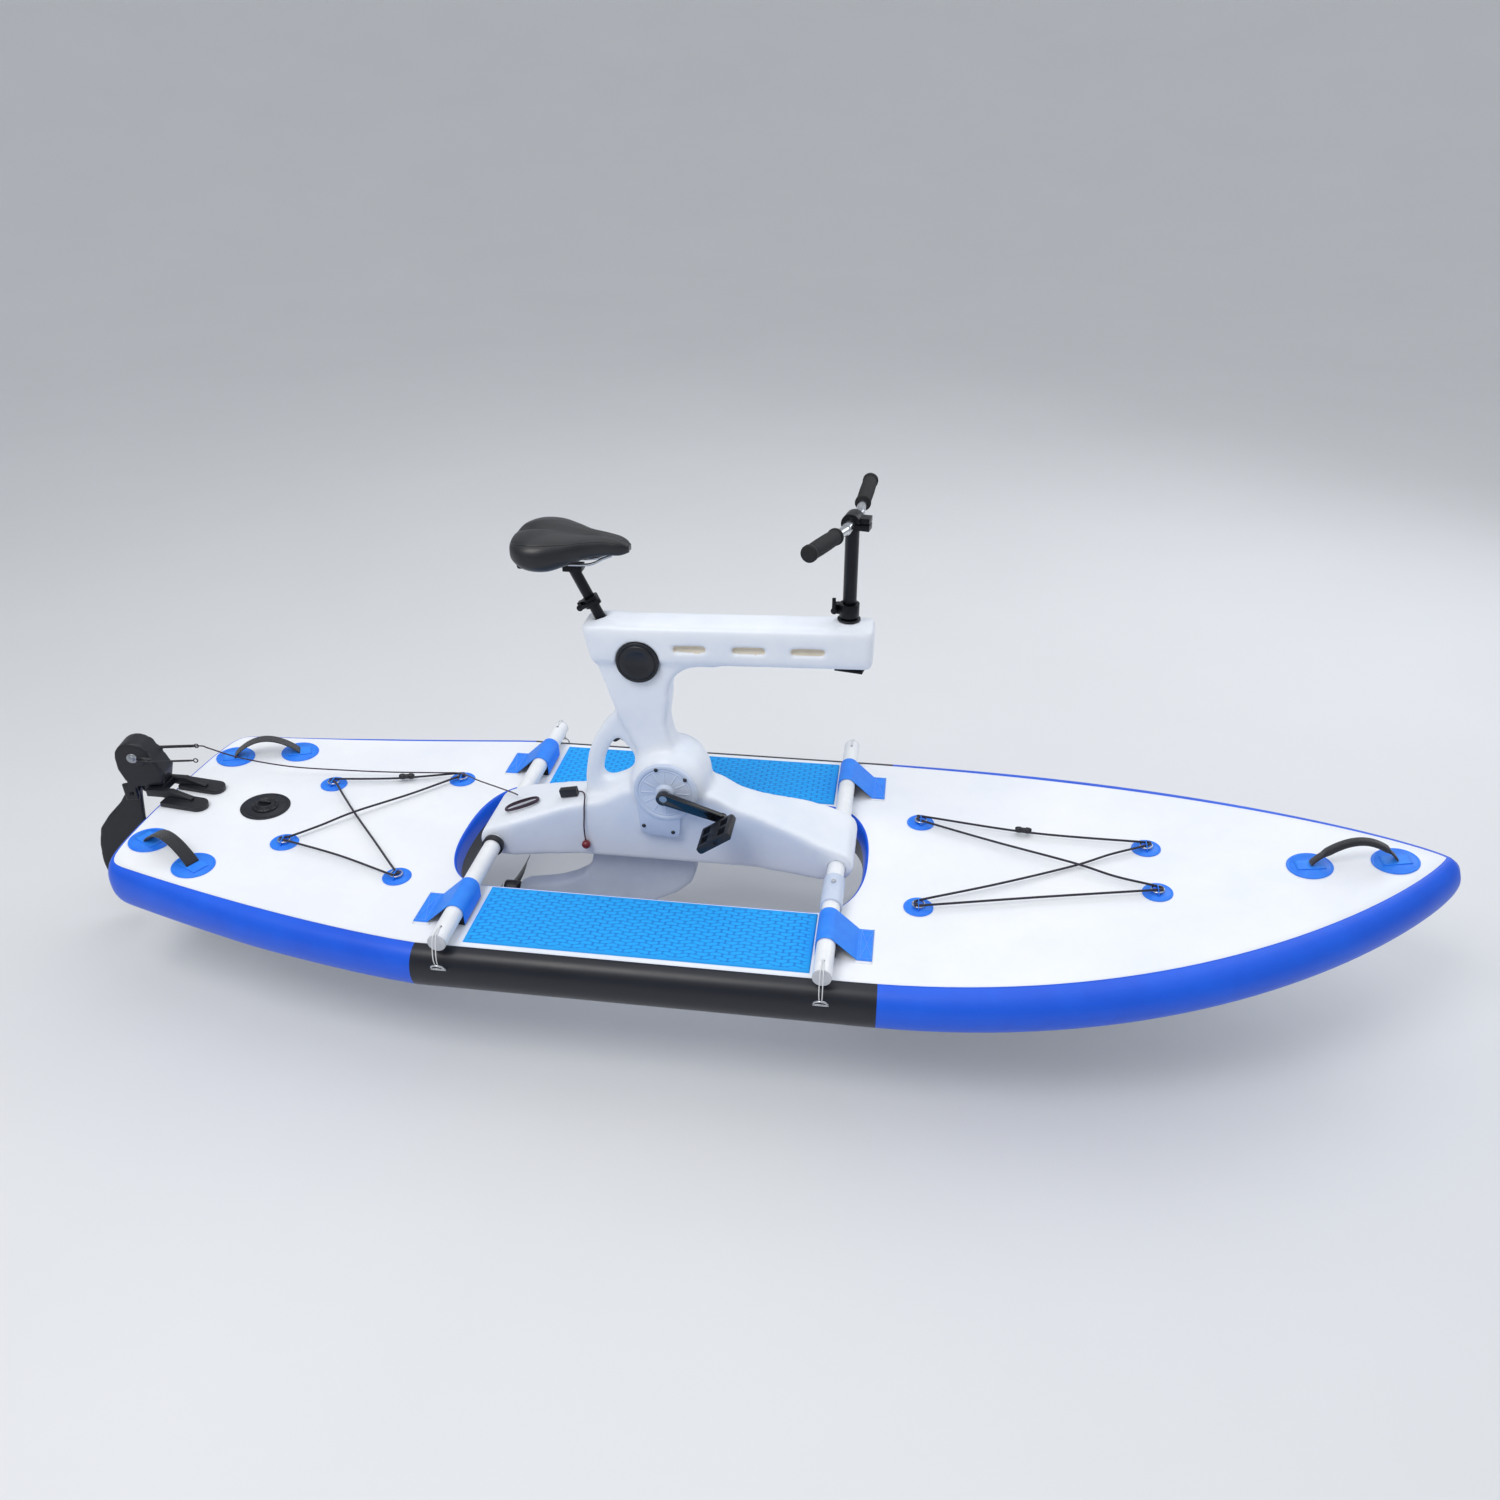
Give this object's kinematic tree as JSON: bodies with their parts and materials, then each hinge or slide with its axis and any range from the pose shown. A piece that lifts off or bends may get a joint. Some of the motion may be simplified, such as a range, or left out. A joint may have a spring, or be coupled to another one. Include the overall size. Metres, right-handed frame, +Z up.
{
  "type": "pedal boat",
  "caption": "Inflatable board with a leg well, cross tubes and a moulded pedal frame that turns a propeller, steered by handlebars through a kick-up rudder.",
  "frame": {"origin": "centre of the leg well, midway between the cross tubes, in the plane of the board's flat underside, where the water holds the boat up", "axes": "+X forward to the bow, +Y to port, +Z up; the origin is on the board's centreline"},
  "size_m": [3.7489, 1.117, 1.3107],
  "materials": {
    "board": "coated drop-stitch fabric, satin white with blue and black rails",
    "valve": "moulded valve on a welded patch",
    "deck_pad": "brushed foam with an embossed diamond pattern",
    "ring_patches": "welded round patches with steel rings",
    "bungee": "braided shock cord",
    "patches": "welded fabric patches",
    "webbing": "black webbing over a tube",
    "tube": "white powder coat",
    "tube_cap": "moulded end plugs",
    "cradle": "dense foam blocks",
    "strap": "stitched coated fabric",
    "ring_steel": "polished D rings",
    "loop_cord": "thin white cord",
    "collar": "split collar",
    "sleeve": "moulded sleeve",
    "button_steel": "snap button",
    "frame": "rotomoulded polyethylene, fine grain",
    "access_cap": "threaded inspection caps",
    "cleat": "line cleat",
    "gear_cover": "moulded cover",
    "screws": "blackened screws",
    "bearing": "ground races",
    "shaft": "ground shaft",
    "gear": "machined teeth",
    "crank": "black anodised forging",
    "pedal": "moulded cage",
    "leg": "moulded leg",
    "propeller": "glass-filled nylon",
    "clamp": "black anodised clamp",
    "lever": "black cam lever",
    "post": "black anodised tube",
    "rails": "bent rails",
    "saddle": "padded cover over a moulded base",
    "column": "black column tube",
    "bush": "flanged bushes",
    "riser": "black riser tube",
    "bar": "polished tube",
    "grip": "ribbed rubber",
    "bracket": "coated bracket",
    "rudder_head": "moulded head",
    "rudder_blade": "moulded blade",
    "line": "braided line",
    "ball": "moulded knob"
  },
  "bodies": {
    "hull": {"board_hull": "board", "valve": "valve", "deck_pad_port": "deck_pad", "deck_pad_starboard": "deck_pad", "bungee_rings": "ring_patches", "bungee_aft": "bungee", "bungee_fore": "bungee", "handle_patches": "patches", "bow_handle": "webbing", "stern_handles": "webbing", "rear_tube": "tube", "front_tube": "tube", "tube_caps": "tube_cap", "tube_cradles": "cradle", "tube_straps": "strap", "tie_rings": "ring_steel", "tie_loops": "loop_cord", "tube_collar": "collar", "lock_sleeve": "sleeve", "frame_body": "frame", "access_caps": "access_cap", "cleat": "cleat", "gear_cover_port": "gear_cover", "gear_cover_starboard": "gear_cover", "cover_screws": "screws", "crank_bearings": "bearing", "leg_bearings": "bearing", "leg_housing": "leg", "seat_clamp": "clamp", "column_bushes": "bush", "rudder_bracket": "bracket", "rudder_line": "line", "line_coil": "line", "line_tail": "line", "line_ball": "ball"},
    "crank": {"crank_axle": "shaft", "crown_gear": "gear", "crank_starboard": "crank", "crank_port": "crank"},
    "pedal_starboard": {"pedal_starboard": "pedal"},
    "pedal_port": {"pedal_port": "pedal"},
    "drive_shaft": {"drive_shaft": "shaft", "pinion": "gear", "leg_gear": "gear"},
    "propeller": {"prop_gear": "gear", "prop_shaft": "shaft", "propeller": "propeller", "prop_nut": "shaft"},
    "seat": {"seat_post": "post", "saddle_rails": "rails", "saddle": "saddle"},
    "seat_lever": {"seat_lever": "lever"},
    "steerer": {"column": "column"},
    "column_lever": {"column_lever": "lever"},
    "handlebar": {"riser": "riser", "handlebar": "bar", "grips": "grip"},
    "rudder_head": {"rudder_head": "rudder_head"},
    "rudder_blade": {"rudder_blade": "rudder_blade"},
    "lock_button": {"lock_button": "button_steel"}
  },
  "joints": [
    {"name": "crank_spin", "type": "hinge", "parent": "hull", "child": "crank", "pos_m": [0.012, 0, 0.342], "axis": [0, 1, 0], "continuous": true},
    {"name": "pedal_starboard_spin", "type": "hinge", "parent": "crank", "child": "pedal_starboard", "pos_m": [0.16417, -0.19, 0.29256], "axis": [0, 1, 0], "continuous": true},
    {"name": "pedal_port_spin", "type": "hinge", "parent": "crank", "child": "pedal_port", "pos_m": [-0.14017, 0.19, 0.39144], "axis": [0, 1, 0], "continuous": true},
    {"name": "drive_shaft_spin", "type": "hinge", "parent": "hull", "child": "drive_shaft", "pos_m": [-0.11, 0, -0.078], "axis": [0.2789, 0, 0.9603], "continuous": true},
    {"name": "propeller_spin", "type": "hinge", "parent": "hull", "child": "propeller", "pos_m": [-0.474, 0, -0.078], "axis": [1, 0, 0], "continuous": true},
    {"name": "steering", "type": "hinge", "parent": "hull", "child": "steerer", "pos_m": [0.465, 0, 0.75], "axis": [0, 0, 1], "range_deg": [-24, 46]},
    {"name": "handlebar_height", "type": "slide", "parent": "steerer", "child": "handlebar", "axis": [0, 0, 1], "range_m": [0, 0.1]},
    {"name": "column_lever_hinge", "type": "hinge", "parent": "steerer", "child": "column_lever", "pos_m": [0.43359, 0.00611, 0.846], "axis": [0.1908, 0.9816, 0], "range_deg": [-110, 0]},
    {"name": "seat_height", "type": "slide", "parent": "hull", "child": "seat", "axis": [-0.4226, 0, 0.9063], "range_m": [-0.02, 0.08]},
    {"name": "seat_lever_hinge", "type": "hinge", "parent": "hull", "child": "seat_lever", "pos_m": [-0.19391, 0, 0.82228], "axis": [0, 1, 0], "range_deg": [-100, 0]},
    {"name": "rudder_yaw", "type": "hinge", "parent": "hull", "child": "rudder_head", "pos_m": [-1.53, 0, 0.189], "axis": [0, 0, 1], "range_deg": [-46, 24]},
    {"name": "rudder_kick_up", "type": "hinge", "parent": "rudder_head", "child": "rudder_blade", "pos_m": [-1.57319, -0.0084, 0.178], "axis": [-0.1908, 0.9816, 0], "range_deg": [0, 75]},
    {"name": "lock_button_press", "type": "slide", "parent": "hull", "child": "lock_button", "axis": [0, 0, -1], "range_m": [0, 0.004], "stiffness_N_per_m": 600, "springref_m": -0.002}
  ],
  "couplings": [
    {"joint": "drive_shaft_spin", "follows": "crank_spin", "ratio": 5},
    {"joint": "propeller_spin", "follows": "crank_spin", "ratio": 7.5},
    {"joint": "rudder_yaw", "follows": "steering", "ratio": -1}
  ]
}
